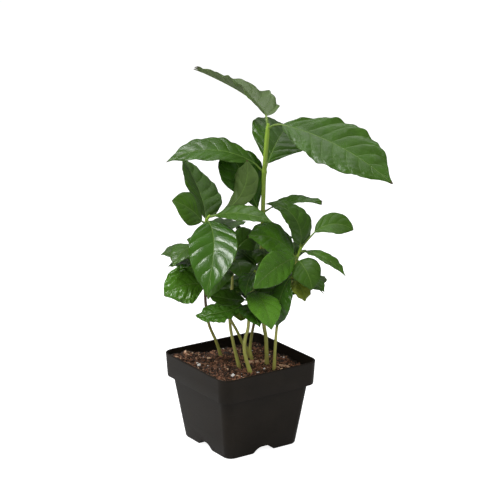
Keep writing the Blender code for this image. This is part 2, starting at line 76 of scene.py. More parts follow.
class Finish:                              # one material and the nodes behind it
    def __init__(self, name, colour, roughness, **constants):
        self.material = bpy.data.materials.new(name)
        self.material.use_nodes = True
        self.material.diffuse_color = (*colour, 1)
        self.tree = self.material.node_tree
        self.shader = self.tree.nodes["Principled BSDF"]
        self.put("Base Color", colour)
        self.put("Roughness", roughness)
        for socket, value in constants.items():
            self.put(socket.replace("_", " "), value)

    def feed(self, socket, value):
        if isinstance(value, Wire):
            self.tree.links.new(value.socket, socket)
        elif isinstance(value, tuple) and len(value) == 3 and socket.type == 'RGBA':
            socket.default_value = (*value, 1)
        else:
            socket.default_value = value

    def put(self, name, value):
        self.feed(self.shader.inputs[name], value)

    def node(self, kind, settings=None, sockets=None, output=0):
        made = self.tree.nodes.new(kind)
        for key, value in (settings or {}).items():
            setattr(made, key, value)
        for key, value in (sockets or {}).items():
            self.feed(made.inputs[key], value)
        return Wire(self, made.outputs[output])

    def coords(self, scale=(1, 1, 1)):     # place on the object, in metres times the scale
        place = self.node("ShaderNodeTexCoord", output="Object")
        return self.node("ShaderNodeMapping", None, {"Vector": place, "Scale": scale})

    def attribute(self, name, output):     # a value that the mesh itself carries
        return self.node("ShaderNodeAttribute", {"attribute_name": name}, output=output)

    def axis(self, vector, which):
        return self.node("ShaderNodeSeparateXYZ", None, {0: vector}, which)

    def grain(self, scale, detail, vector=None):
        return self.node("ShaderNodeTexNoise", None,
                         {"Vector": vector or self.coords(), "Scale": scale, "Detail": detail}, "Fac")

    def between(self, value, low, high):   # 0 at low, 1 at high, smooth between
        return self.node("ShaderNodeMapRange", {"interpolation_type": 'SMOOTHSTEP'},
                         {"Value": value, "From Min": low, "From Max": high})

    def blend(self, share, first, second):
        return self.node("ShaderNodeMix", {"data_type": 'RGBA'}, {0: share, 6: first, 7: second}, 2)

    def relief(self, height, distance, strength=1):
        self.put("Normal", self.node("ShaderNodeBump", None, {"Height": height, "Distance": distance,
                                                              "Strength": strength}))


def shade(colour, *factors):               # lighter or darker, by one factor or one for each channel
    return tuple(min(1, c * k) for c, k in zip(colour, factors * 3 if len(factors) == 1 else factors))


def smooth(value, low=0, high=1):          # 0 at low, 1 at high, smooth between
    share = min(1, max(0, (value - low) / (high - low)))
    return share * share * (3 - 2 * share)


def objectFrom(bm, name, finishes):
    mesh = bpy.data.meshes.new(name)
    bm.to_mesh(mesh)
    bm.free()
    mesh.shade_smooth()
    for finish in finishes:
        mesh.materials.append(finish.material)
    made = bpy.data.objects.new(name, mesh)
    bpy.context.scene.collection.objects.link(made)
    return made


def joined(pieces, name):
    with bpy.context.temp_override(active_object=pieces[0], object=pieces[0], selected_objects=pieces,
                                   selected_editable_objects=pieces):
        bpy.ops.object.join()
    pieces[0].name = name
    pieces[0].data.name = name
    return pieces[0]


def smoothRoute(points, step):             # closely spaced points on a Catmull-Rom curve
    pts = [Vector(p) for p in points]
    pts = [2 * pts[0] - pts[1]] + pts + [2 * pts[-1] - pts[-2]]
    route = []
    for a, b, c, d in zip(pts, pts[1:], pts[2:], pts[3:]):
        steps = max(1, round((c - b).length / step))
        for i in range(steps):
            t = i / steps
            route.append(0.5 * (2 * b + (c - a) * t + (2 * a - 5 * b + 4 * c - d) * t ** 2
                                + (3 * b - a - 3 * c + d) * t ** 3))
    return route + [pts[-2]]


def rod(points, widths, sides):            # a closed round rod as a bmesh
    bm = bmesh.new()
    bmesh.ops.create_circle(bm, cap_ends=True, segments=sides, radius=0.5)
    turn = Vector((0, 0, 1)).rotation_difference(points[1] - points[0])
    station = Matrix.Translation(points[0]) @ turn.to_matrix().to_4x4() @ Matrix.Scale(widths[0], 4)
    bmesh.ops.transform(bm, matrix=station, verts=bm.verts)
    bm.faces.ensure_lookup_table()
    bmesh.ops.duplicate(bm, geom=[bm.faces[0]])       # stays behind as the rod's first face
    bm.faces.ensure_lookup_table()
    face = bm.faces[0]
    way = points[1] - points[0]
    for i in range(1, len(points)):
        ahead = points[min(i + 1, len(points) - 1)] - points[i - 1]
        turn = way.rotation_difference(ahead) @ turn
        way = ahead
        now = Matrix.Translation(points[i]) @ turn.to_matrix().to_4x4() @ Matrix.Scale(widths[i], 4)
        face = bmesh.ops.extrude_discrete_faces(bm, faces=[face])["faces"][0]
        bmesh.ops.transform(bm, matrix=now @ station.inverted(), verts=face.verts)
        station = now
    bmesh.ops.remove_doubles(bm, verts=bm.verts, dist=weld)
    bmesh.ops.recalc_face_normals(bm, faces=bm.faces)
    return bm


growth = {
    "stalkRoot": 1.0 * mm,       # distance from a stem's middle at which a stalk's slope starts
    "pairRoot": 3.2 * mm,        # the same for the pairs on the tall stem
    "stalkSteps": 2,
    "stalkSteeper": 15,          # degrees that a stalk climbs more steeply than its blade, where not given
    "pathSteps": 40,
    "endWidth": 0.02,
    "tipStart": 0.8,
    "fullness": 0.8,
    "curl": 0.1,
}


def leaf(at, turn, rise, arch, length, width, swing=0, roll=0, twist=0, stalk=6, stalkRise=None,
         fold=8, belly=0.47, look="deep", wave=0.35, tip=0.62, pucker=0.25, ragged=0, stout=1):
    if stalkRise is None:
        stalkRise = rise + growth["stalkSteeper"]
    return dict(at=at * mm, turn=turn, rise=rise, arch=arch, length=length * mm, width=width * mm,
                swing=swing, roll=roll, twist=twist, stalk=stalk * mm, stalkRise=stalkRise, fold=fold,
                belly=belly, look=look, wave=wave, tip=tip, pucker=pucker, ragged=ragged, stout=stout)


# each seedling: the points its stem passes, its thickness at foot and top, and its leaves
seedlings = {
    "left": dict(
        route=[(-19, 25, 78), (-24, 22, 96), (-31, 18, 115), (-34, 13, 136), (-35, 8, 160),
               (-35, 3, 191), (-34, 0, 214), (-33, -2, 228), (-29, -3, 235)],
        foot=3.1, top=2.5,
        leaves=[
            leaf(233, -11, 25, -76, 66, 35, swing=8, roll=38, twist=11, stalk=10, stalkRise=20, fold=6,
                 belly=0.66, look="pale", tip=0.5),
            leaf(233, -40, 22, 40, 68, 22, swing=15, roll=31, stalk=8, stalkRise=15, fold=15, look="matt"),
            leaf(229, -70, -18, 47, 89, 48, swing=-48, roll=1, twist=12, stalkRise=30, fold=13,
                 belly=0.43, look="glossy", wave=0.15, tip=0.5, pucker=0.1),
            leaf(226, 93, 22, -19, 94, 45, swing=36, roll=24, twist=5, stalk=5, stalkRise=70, fold=20,
                 look="matt", wave=0.4),
            leaf(226, 198, 57, 40, 38, 46, swing=-6, roll=-36, twist=8, stalk=4, stalkRise=30, fold=5,
                 wave=0.2, tip=0.25, pucker=0.1),
            leaf(200, 60, 37, 69, 74, 36),
            leaf(200, 235, 25, 75, 50, 28),
        ]),
    "leaning": dict(
        route=[(9, 27, 78), (8, 26, 86), (3, 25, 93), (-3, 23, 107), (-10, 21, 121), (-18, 19, 139),
               (-27, 17, 160), (-34, 15, 178), (-36, 14, 190)],
        foot=3.1, top=2.3,
        leaves=[
            leaf(187, 20, 45, 60, 35, 20),
            leaf(185, 187, 27, 41, 39, 28, roll=-17, stalk=5, stalkRise=20, fold=12, look="sheen",
                 wave=0.15),
            leaf(182, 95, 40, 80, 60, 32),
            leaf(174, 189, 35, 59, 36, 32, swing=8, roll=-6, twist=3, stalk=5, stalkRise=25, fold=5,
                 look="glossy", pucker=1),
            leaf(154, 195, 17, 57, 44, 42, roll=-42, twist=-8, stalk=11, stalkRise=30, fold=6,
                 look="bright", tip=0.3, pucker=1),
            leaf(155, 114, 17, 81, 58, 31, roll=18, stalkRise=35),
        ]),
    "middle": dict(
        route=[(-1, -3, 78), (-7, -3, 105), (-10, -3, 125), (-10, -3, 143), (-8, -3, 158),
               (-7, -2, 178), (-5, -2, 200)],
        foot=3.4, top=2.4,
        leaves=[
            leaf(197, 41, 47, 65, 29, 26, roll=52, twist=5, stalk=4, stalkRise=50, fold=5),
            leaf(188, -75, 15, 75, 32, 24),
            leaf(177, -120, 20, 90, 50, 28),
            leaf(156, -21, -2, 72, 40, 22, stalkRise=20),
            leaf(131, 18, 0, 30, 15, 13, roll=34, stalk=3, stalkRise=30, fold=5, look="young"),
        ]),
    "front": dict(
        route=[(11, -27, 78), (5, -27, 100), (5, -27, 114), (8, -27, 126), (9, -27, 140),
               (10, -27, 156), (12, -26, 167), (14, -26, 175), (15, -26, 186)],
        foot=3.8, top=2.5,
        leaves=[
            leaf(183, -107, 6, 65, 35, 20, swing=3, roll=-4, stalk=4, stalkRise=25, fold=10,
                 look="glossy", pucker=0.6),
            leaf(166, 97, 40, 61, 40, 23, roll=-9),
            # this leaf lies in shade and takes the lighter painted-light green
            leaf(166, -66, -9, 68, 47, 38, swing=14, roll=-9, twist=2, stalk=6, stalkRise=15,
                 look="fresh", wave=0.15, tip=0.4),
            leaf(155, 178, -1, -16, 37, 22, swing=-9, roll=-34, stalk=4, stalkRise=20, fold=15, tip=0.3,
                 pucker=0.5),
            leaf(152, -89, 8, 50, 40, 27, swing=30, roll=-8, twist=7, stalk=4, stalkRise=0,
                 look="glossy", wave=0.15),
            leaf(152, 48, 46, 37, 35, 23, roll=18, stalk=6, stalkRise=24),
            leaf(150, 179, -23, -17, 50, 28, swing=-17, roll=-34, stalk=5, stalkRise=15, fold=12,
                 look="bright", tip=0.25, pucker=1.5, ragged=0.6),
        ]),
    "back": dict(
        route=[(12, 18, 78), (10, 18, 89), (12, 19, 106), (15, 20, 122), (17, 22, 140),
               (18, 24, 161), (19, 26, 183)],
        foot=3.1, top=2.4,
        leaves=[
            leaf(179, 104, 48, 87, 63, 39, swing=4, roll=37, stalkRise=60),
            leaf(176, 82, 49, 33, 49, 44, swing=-8, roll=-16, twist=-8, stalk=5, stalkRise=60, fold=5),
            leaf(172, 124, 24, 33, 57, 39, roll=-22, stalk=5, stalkRise=37),
            leaf(156, 29, 24, 76, 60, 32),
            leaf(147, 174, 23, 60, 39, 23, roll=-33, stalk=5, stalkRise=34),
            leaf(156, 137, 27, 69, 58, 30),
            leaf(137, 85, 15, 70, 50, 28),
            leaf(135, 28, 44, 74, 54, 34, roll=19, stalk=7, stalkRise=29),
        ]),
    "right": dict(
        route=[(34, -12, 78), (35, -12, 102), (37, -12, 126), (42, -14, 148), (49, -14, 167),
               (53, -16, 179), (56, -17, 195), (60, -18, 207)],
        foot=3.0, top=2.4,
        leaves=[
            leaf(205, 16, 41, 79, 42, 30, swing=-15, roll=26, twist=9, stalk=20, stalkRise=58, fold=12,
                 belly=0.55, look="matt", wave=0.1, tip=0.12, pucker=0.1),
            leaf(205, 152, 103, 111, 61, 33, swing=17, roll=-20, twist=5, stalk=4, stalkRise=85, fold=12,
                 belly=0.35, look="sheen", tip=0.4, pucker=0.5),
            leaf(205, 75, 70, 40, 12, 5, stalk=3, look="young"),
            leaf(202, -31, 2, 47, 51, 19, roll=5, stalk=4, stalkRise=25, fold=15),
            leaf(196, 239, 4, 24, 81, 30, roll=-58, twist=-5, stalk=4, stalkRise=20, fold=10,
                 look="bright", wave=0.15, tip=0.4),
            leaf(196, 188, 59, 68, 54, 42, swing=12, roll=-34, stalk=4, stalkRise=20, fold=5,
                 look="bright"),
            leaf(193, -74, 4, 94, 38, 28, swing=35, roll=29, twist=3, stalk=6, stalkRise=20, look="matt",
                 wave=0.15, tip=0.2),
            leaf(194, 97, 32, 88, 49, 24, roll=-14, stalk=8, stalkRise=24),
            leaf(189, 97, 15, 60, 58, 30, stalkRise=55),
            leaf(178, -142, -45, 46, 52, 33, swing=26, roll=9, stalk=4, stalkRise=-10, look="glossy"),
            leaf(173, -24, 12, 55, 33, 26, swing=-11, roll=5, stalk=4, stalkRise=10, fold=5),
            leaf(173, -60, -8, 74, 26, 22, swing=12, stalk=4, look="old", tip=0.4, pucker=1),
            leaf(167, 50, 21, 79, 55, 30, stalkRise=35),
        ]),
    "tall": dict(
        route=[(27, 7, 78), (26, 7, 105), (24, 7, 118), (22, 7, 145), (21, 7, 176), (22, 7, 207),
               (23, 7, 248), (24, 7, 276), (27, 7, 317), (28, 7, 324)],
        foot=3.7, top=4.5,
        leaves=[
            leaf(319, 100, 16, -9, 107, 50, swing=86, roll=19, twist=-4, stalk=14, stalkRise=89, fold=28,
                 belly=0.39, look="dull", wave=1, tip=0.35, ragged=1, stout=1.6),
            leaf(319, -28, -7, 24, 131, 60, swing=-12, roll=30, twist=-4, stalk=16, stalkRise=45,
                 fold=10, look="sheen", wave=0.75, stout=1.25),
        ]),
}

# Leaf pairs that the tall stem carries on its way up, each pair a mass round the whole stem.
tallPairs = {
    "upper": [
        leaf(276, 65, 44, 56, 82, 59, swing=14, roll=24, stalk=8, stalkRise=75, belly=0.55, look="sheen"),
        leaf(275, 168, 32, 64, 93, 35, swing=13, roll=-23, twist=-9, stalk=10, stalkRise=80, fold=12,
             look="sheen", wave=0.6),
    ],
    "second": [
        leaf(235, 14, 20, 34, 52, 24, swing=-15, roll=6, stalk=7, stalkRise=60, fold=18, ragged=1),
        leaf(233, 146, 62, 12, 70, 50, swing=-10, roll=-15, twist=-3, stalkRise=60, belly=0.57,
             look="glossy", wave=0.3),
    ],
    "third": [
        leaf(197, 30, 35, 65, 34, 22, stalkRise=60),
        leaf(197, -85, 20, 90, 36, 24, stalkRise=35),
    ],
    "lower": [
        leaf(162, 11, 19, 74, 63, 32, stalkRise=40),
        leaf(162, 165, 20, 70, 40, 24, stalkRise=40),
    ],
}


def bearing(turn, slope):
    turn, slope = math.radians(turn), math.radians(slope)
    return Vector((math.cos(slope) * math.cos(turn), math.cos(slope) * math.sin(turn), math.sin(slope)))


def leafPath(spec, joint, root):           # the stalk's points, then the midrib's points and directions
    stalk = [joint + bearing(spec["turn"], 0) * root]
    for i in range(growth["stalkSteps"]):
        share = (i + 0.5) / growth["stalkSteps"]
        slope = spec["stalkRise"] * (1 - share) + spec["rise"] * share
        stalk.append(stalk[-1] + bearing(spec["turn"], slope) * spec["stalk"] / growth["stalkSteps"])
    shares = [i / growth["pathSteps"] for i in range(growth["pathSteps"] + 1)]
    ways = [bearing(spec["turn"] + spec["swing"] * t, spec["rise"] - spec["arch"] * t) for t in shares]
    midrib = []
    centre = stalk[-1].copy()
    for t, way, before in zip(shares, ways, [None] + ways):
        if before:
            centre = centre + (before + way) / 2 * spec["length"] / growth["pathSteps"]
        turn = math.radians(spec["turn"] + spec["swing"] * t)
        level = Vector((-math.sin(turn), math.cos(turn), 0))
        up = way.cross(level)
        tip = math.radians(spec["roll"] + spec["twist"] * t)
        midrib.append((centre, level * math.cos(tip) + up * math.sin(tip),
                       up * math.cos(tip) - level * math.sin(tip)))
    return stalk, midrib


def along(midrib, t):
    low = min(int(t * growth["pathSteps"]), growth["pathSteps"] - 1)
    share = t * growth["pathSteps"] - low
    return [a.lerp(b, share) for a, b in zip(midrib[low], midrib[low + 1])]


def halfWidth(spec, t):                    # widest where the belly lies
    swell = math.sin(math.pi * t ** (math.log(0.5) / math.log(spec["belly"]))) ** growth["fullness"]
    narrow = 1 - spec["tip"] * smooth(t, growth["tipStart"], 1)
    return spec["width"] / 2 * (swell * narrow + growth["endWidth"])


blade = {
    "cell": 0.85 * mm,
    "quickCell": 1.8,
    "leastCells": 12,
    "thickness": 0.55 * mm,
    "seam": 1e-4,                # the two sheets meet within this share of the margin
    "thinFoot": (-0.02, 0.03),   # shares of the length over which a blade thins out
    "thinTip": (-0.01, 0.02),
    "plainFoot": 0.10,           # shares of the length over which swellings and waves fade out
    "plainTip": 0.14,
    "veinSpacing": 14 * mm,      # between side veins along the midrib
    "leastVeins": 5,
    "veinSlant": 0.62,           # how far a side vein runs forward for each step outwards
    "veinBend": 0.055,           # and how much it bends forward by the margin
    "veinOffset": 0.22,          # the two sides' veins don't quite meet
    "veinDrift": 0.16,
    "quilt": 0.060,              # height of the swelling between veins, as a share of their spacing
    "quiltFullness": 0.75,
    "quiltSunk": 0.6,            # how much of a swelling's height lies below the blade's own surface
    "quiltFrom": 0.25,           # share of the half width over which a swelling rises from the midrib
    "quiltLeast": 0.4,           # a half width of this many spacings gives the full height
    "wave": 0.085,               # height of a margin's waves, as a share of half the width
    "scallop": 0.035,
    "uneven": 0.05,
    "ruffle": 0.030,
    "pucker": 2.2 * mm,          # height of the crinkles on the crinkled leaves
    "puckerSize": 4.0 * mm,
    "wornFrom": 0.78,            # where along the blade a ragged tip starts, and is at its worst
    "wornTo": 0.97,
    "blunt": 1.7 * mm,           # half the width of a ragged tip
    "tear": 0.07,
    "mapGap": 0.04,              # left free round each leaf on the baking map
}


# The plain numbers in each noise say how fast it changes along and across the blade, and the seed
# keeps one leaf's unevenness unlike the next one's.
def veinPhase(spec, t, across):            # whole numbers lie on the side veins
    pairs = max(blade["leastVeins"], round(spec["length"] / blade["veinSpacing"]))
    reach = abs(across)
    slant = blade["veinSlant"] * spec["width"] / 2 / spec["length"]
    drift = blade["veinDrift"] * noise.noise(Vector((5 * t, spec["seed"], 0)))
    side = blade["veinOffset"] if across > 0 else 0
    return pairs * (t - slant * reach - blade["veinBend"] * reach ** 3) + side + drift


def bladePoint(spec, midrib, t, across):
    seed = spec["seed"]
    reach = abs(across)
    worn = spec["ragged"] * smooth(t, blade["wornFrom"], blade["wornTo"])
    t *= 1 - worn * blade["tear"] * abs(noise.noise(Vector((0, 3.5 * across, 9 * seed))))
    centre, side, up = along(midrib, t)
    phase = veinPhase(spec, t, across)
    ends = smooth(t, 0, blade["plainFoot"]) * smooth(1 - t, 0, blade["plainTip"])

    half = halfWidth(spec, t)              # with scallops between the veins
    half *= 1 - blade["scallop"] * spec["wave"] * math.cos(2 * math.pi * phase) * reach ** 4 * ends
    half *= 1 + blade["uneven"] * ends * noise.noise(Vector((3 * t, 3 * seed + (across > 0), 7)))
    half += worn * blade["blunt"] * (1 + noise.noise(Vector((14 * t, 2 * across, seed))))

    fold = math.radians(spec["fold"])
    lift = reach * half * math.sin(fold) - growth["curl"] * across ** 2 * half
    lift += worn * across * blade["blunt"]             # a ragged tip also turns over
    spacing = min(blade["veinSpacing"], spec["length"] / blade["leastVeins"])
    swell = abs(math.sin(math.pi * phase)) ** blade["quiltFullness"] - blade["quiltSunk"]
    quilt = blade["quilt"] * spacing * swell * smooth(reach, 0, blade["quiltFrom"])
    quilt *= min(1, half / (blade["quiltLeast"] * spacing))
    wave = blade["wave"] * spec["wave"] * half * math.sin(2 * math.pi * (phase * 0.5 + seed)) * reach ** 3
    ruffle = blade["ruffle"] * spec["width"] * reach * noise.noise(Vector((3.2 * t, 1.3 * across, 5 * seed)))
    crinkle = Vector((t * spec["length"], across * half, seed)) / blade["puckerSize"]
    pucker = blade["pucker"] * spec["pucker"] * reach * noise.noise(crinkle)
    lift += (quilt + wave + ruffle + pucker) * ends
    return centre + side * across * half * math.cos(fold) + up * lift, up, phase, half


def leafCell(order, perRow, x, y, side):   # a place on the leaf's own part of its mass's baking map
    x, y = (blade["mapGap"] + (1 - 2 * blade["mapGap"]) * place for place in (x, y))
    return (order % perRow + x) / perRow, (order // perRow + (side + y) / 2) / perRow


def makeBlade(name, spec, midrib, looks, order, perRow):
    rows = max(blade["leastCells"], round(spec["length"] / blade["cell"]))
    columns = max(blade["leastCells"], 2 * round(spec["width"] / blade["cell"] / 2))
    bm = bmesh.new()
    bmesh.ops.create_grid(bm, x_segments=rows, y_segments=columns, size=0.5)
    vein = bm.verts.layers.float_vector.new("vein")
    plan = bm.verts.layers.float_vector.new("plan")
    uv = bm.loops.layers.uv.new("OFBake")
    under = bmesh.ops.duplicate(bm, geom=list(bm.verts) + list(bm.edges) + list(bm.faces))["geom"]
    underFaces = {g for g in under if isinstance(g, bmesh.types.BMFace)}
    underVerts = {g for g in under if isinstance(g, bmesh.types.BMVert)}
    for face in bm.faces:
        face.material_index = int(face in underFaces)
        for loop in face.loops:
            place = loop.vert.co
            loop[uv].uv = leafCell(order, perRow, place.x + 0.5, place.y + 0.5, face.material_index)
    for vert in bm.verts:
        t = min(1, max(0, vert.co.x + 0.5))
        across = 2 * vert.co.y
        point, up, phase, half = bladePoint(spec, midrib, t, across)
        depth = blade["thickness"] / 2 * (1 - abs(across) ** 6)
        depth *= smooth(t, *blade["thinFoot"]) * smooth(1 - t, *blade["thinTip"])
        if min(1 - abs(across), t, 1 - t) < blade["seam"]:
            depth = 0
        vert.co = point - up * depth if vert in underVerts else point + up * depth
        vert[vein] = (phase, across * half / mm, half / mm)
        vert[plan] = (t, abs(across), spec["seed"])
    bmesh.ops.reverse_faces(bm, faces=list(underFaces))
    bmesh.ops.remove_doubles(bm, verts=bm.verts, dist=weld)
    return objectFrom(bm, name, looks)


leafLooks = {              # upper side, its roughness, and the underside
    "glossy": dict(colour=(0.027, 0.090, 0.005), rough=0.20, under=(0.066, 0.140, 0.016)),
    "deep": dict(colour=(0.034, 0.094, 0.006), rough=0.30, under=(0.060, 0.125, 0.016)),
    "sheen": dict(colour=(0.030, 0.083, 0.006), rough=0.33, under=(0.064, 0.132, 0.020)),
    # its underside is a lighter green as painted light, standing in for the light it misses in shade
    "pale": dict(colour=(0.050, 0.086, 0.018), rough=0.48, under=(0.125, 0.235, 0.045)),
    # painted light: a lighter copy of the leaf green, for leaves that lie in shade or should look more
    # brightly lit
    "bright": dict(colour=(0.056, 0.165, 0.010), rough=0.22, under=(0.080, 0.170, 0.020)),
    # painted light: a lighter green for the front leaf that lies in shade under its neighbour, standing in
    # for light it doesn't get
    "fresh": dict(colour=(0.088, 0.235, 0.018), rough=0.24, under=(0.090, 0.190, 0.025)),
    "matt": dict(colour=(0.033, 0.092, 0.005), rough=0.46, under=(0.060, 0.125, 0.016)),
    # painted sheen: a greyer, lighter green that stands in for the sheen on the top leaf
    "dull": dict(colour=(0.062, 0.105, 0.030), rough=0.38, under=(0.090, 0.135, 0.048)),
    "young": dict(colour=(0.140, 0.230, 0.020), rough=0.38, under=(0.160, 0.250, 0.030)),
    "old": dict(colour=(0.150, 0.200, 0.020), rough=0.50, under=(0.140, 0.155, 0.020)),
}
leafSides = {              # how strongly midrib and side veins show, and whether they stand up or lie sunk
    "upper": dict(rib=0.60, line=0.14, stand=-1),
    "under": dict(rib=0.90, line=0.50, stand=1),
}
veinLook = {
    "colour": (0.125, 0.220, 0.040),
    "edge": (0.085, 0.150, 0.020),
    "brown": (0.050, 0.026, 0.010),
    "ribCore": (0.30, 0.20),     # the midrib's half width in mm at the foot, and what it loses by the tip
    "ribEdge": (0.85, 0.45),     # the same for its soft outside
    "line": (0.012, 0.060),      # a side vein's core and its outside, as shares of the spacing
    "lineEnds": (0.86, 0.98),    # shares of the half width between which the side veins run out
    "netScale": 620,             # cells of the fine net in a metre
    "netWidth": (0.02, 0.16),
    "clouds": 55,                # light and dark patches in a metre, and pores
    "pores": 900,
    "edgeFrom": 0.965,           # share of the half width from which the margin is pale
    "dryFrom": (0.985, 1.005),   # share of the length at which the very tip turns brown
    "tones": (0.82, 1.22),       # the darkest and the lightest cloud in a leaf's own colour
    "leafTone": (1.5, 1.2, 1.3),           # what the palest leaf's colour is multiplied by
    "shine": 0.62,               # how strongly a leaf mirrors, less where it is rough
    "underRough": 0.55,
    "relief": 0.22 * mm,
}


def leafFinish(name, colour, rough, side):
    made = Finish(name, colour, rough, Specular_IOR_Level=veinLook["shine"] * (1 - rough), IOR=1.45)
    vein = made.attribute("vein", "Vector")
    plan = made.attribute("plan", "Vector")
    phase, across = made.axis(vein, 0), made.axis(vein, 1)
    share, reach, seed = (made.axis(plan, which) for which in range(3))
    # midrib: a line about a millimetre wide that thins towards the tip
    away = made.node("ShaderNodeMath", {"operation": 'ABSOLUTE'}, {0: across})
    core, outside = (wide - share * loss for wide, loss in (veinLook["ribCore"], veinLook["ribEdge"]))
    rib = 1 - made.between(away, core, outside)
    # side veins: fine lines where the phase is a whole number
    near = made.node("ShaderNodeMath", {"operation": 'PINGPONG'}, {0: phase, 1: 0.5})
    line = (1 - made.between(near, *veinLook["line"])) * (1 - made.between(reach, *veinLook["lineEnds"]))
    # fine net between the veins
    net = made.node("ShaderNodeTexVoronoi", {"feature": 'DISTANCE_TO_EDGE'},
                    {"Vector": made.coords(), "Scale": veinLook["netScale"]}, "Distance")
    net = 1 - made.between(net, *veinLook["netWidth"])
    soft = made.grain(veinLook["clouds"], 2)
    fine = made.grain(veinLook["pores"], 2)
    tone = made.blend(made.between(soft, 0.3, 0.7), *(shade(colour, k) for k in veinLook["tones"]))
    tone = made.blend(seed * 0.35, tone, shade(colour, *veinLook["leafTone"]))
    tone = made.blend(net * 0.10, tone, veinLook["colour"])
    tone = made.blend(line * side["line"], tone, veinLook["colour"])
    tone = made.blend(rib * side["rib"], tone, veinLook["colour"])
    tone = made.blend(made.between(reach, veinLook["edgeFrom"], 1) * 0.5, tone, veinLook["edge"])
    dry = made.between(share + made.grain(260, 2) * 0.03, *veinLook["dryFrom"])
    tone = made.blend(dry * 0.8, tone, veinLook["brown"])
    made.put("Base Color", tone)
    made.put("Roughness", made.grain(420, 2) * 0.10 + (rough - 0.05) + net * 0.05)
    made.relief((line * 0.6 + rib) * side["stand"] - net * 0.22 + fine * 0.10, veinLook["relief"], 0.9)
    return made


stemLook = {
    "step": 1.2 * mm,
    "everyPoint": 6,             # the stem passes through every sixth point of its finely drawn route
    "sides": 16,
    "soilTop": 78 * mm,
    "sunk": 3 * mm,              # how far each foot goes on down into the soil
    "flareHeight": 6 * mm,
    "flare": 0.35,
    "nodeSwell": 0.22,
    "nodeLength": 1.6 * mm,
    "endWidth": 0.6,             # a stem's very end is drawn in to this share of its thickness
    "relief": 0.09 * mm,
    "grain": (900, 900, 140),    # how fine the bark's unevenness is across and along the stem
    "streaks": (900, 900, 120),
    "flecks": (1400, 1400, 700),
    "bark": 0.15 * mm,
    "slender": 0.42,             # how much the tall stem thins out by its top
    "slenderLength": 13 * mm,
    "green": (0.440, 0.450, 0.105),
    "young": (0.250, 0.400, 0.040),
    "brown": (0.110, 0.055, 0.028),
    "reached": 0.9,              # share of the height by which a stem has its upper colour
    "brownReached": 0.45,
    "shoot": (0.84, 0.97),       # above this it turns the green of the young wood
    "rough": 0.45,
}
stalkLook = {
    "step": 1.5 * mm,
    "sides": 9,
    "atStem": 2.7 * mm,
    "flareLength": 2.2 * mm,
    "stalk": 1.7 * mm,
    "atBlade": 1.35 * mm,
    "tip": 0.30 * mm,
    "thinning": 0.7,             # below 1 the midrib thins out early
    "short": 4.5 * mm,           # a stalk up to this length has no bend of its own
    "ribPoints": 14,
    "ribReach": 0.985,           # share of the blade that the midrib runs along
    "ribSunk": 0.42,             # how far it lies below the blade, as a share of its thickness
    "colour": (0.130, 0.220, 0.035),
    "rough": 0.42,
    "streaks": (700, 700, 300),
    "relief": 0.12 * mm,
}


def atHeight(route, z):
    for low, high in zip(route, route[1:]):
        if high.z >= z or high is route[-1]:
            return low.lerp(high, (z - low.z) / (high.z - low.z))


def makeStem(name, seedling, route, looks):
    soilTop, top = stemLook["soilTop"], route[-1].z
    foot = route[0] - Vector((0, 0, stemLook["sunk"]))
    points = smoothRoute([foot] + route[::stemLook["everyPoint"]] + [route[-1]], stemLook["step"])
    widths = []
    for point in points:
        share = min(1, max(0, (point.z - soilTop) / (top - soilTop)))
        width = (seedling["foot"] * (1 - share) + seedling["top"] * share) * mm
        width *= 1 + stemLook["flare"] * math.exp(-max(0, point.z - soilTop) / stemLook["flareHeight"])
        near = min(abs(point.z - spec["at"]) for spec in seedling["leaves"] + seedling.get("pairs", []))
        width *= 1 + stemLook["nodeSwell"] * math.exp(-(near / stemLook["nodeLength"]) ** 2)
        if "pairs" in seedling:
            width *= 1 - stemLook["slender"] * smooth(point.z, top - stemLook["slenderLength"], top)
        widths.append(width)
    widths[-1] *= stemLook["endWidth"]
    bm = rod(points, widths, stemLook["sides"])
    age = bm.verts.layers.float.new("age")
    for vert in bm.verts:
        vert[age] = (vert.co.z - soilTop) / (top - soilTop)
        grain = noise.noise(vert.co * Vector(stemLook["grain"]))
        vert.co += vert.normal * stemLook["relief"] * grain
    bmesh.ops.transform(bm, matrix=toPot, verts=bm.verts)
    return objectFrom(bm, name, looks)


def stemFinish(name, foot, top, reached=stemLook["reached"]):
    made = Finish(name, foot, stemLook["rough"])
    age = made.attribute("age", "Fac")
    streaks = made.grain(1, 3, made.coords(stemLook["streaks"]))
    flecks = made.grain(1, 2, made.coords(stemLook["flecks"]))
    tone = made.blend(made.between(age, 0.1, reached), foot, top)
    tone = made.blend(made.between(streaks, 0.45, 0.75) * 0.35, tone, shade(foot, 0.6))
    tone = made.blend(made.between(flecks, 0.62, 0.75) * 0.45, tone, stemLook["brown"])
    tone = made.blend((1 - made.between(age, 0.0, 0.07)) * 0.5, tone, stemLook["brown"])    # by the soil
    tone = made.blend(made.between(age, *stemLook["shoot"]), tone, stemLook["young"])
    made.put("Base Color", tone)
    made.put("Roughness", streaks * 0.2 + (stemLook["rough"] - 0.07))
    made.relief(streaks * 0.7 + flecks * 0.3, stemLook["bark"])
    return made


def ribWidth(t):
    return stalkLook["atBlade"] + (stalkLook["tip"] - stalkLook["atBlade"]) * t ** stalkLook["thinning"]


def runLength(points):
    return sum((b - a).length for a, b in zip(points, points[1:]))


def evened(widths, reach=2):               # each width becomes the mean of its neighbours and itself
    near = [widths[max(0, i - reach):i + reach + 1] for i in range(len(widths))]
    return [sum(few) / len(few) for few in near]


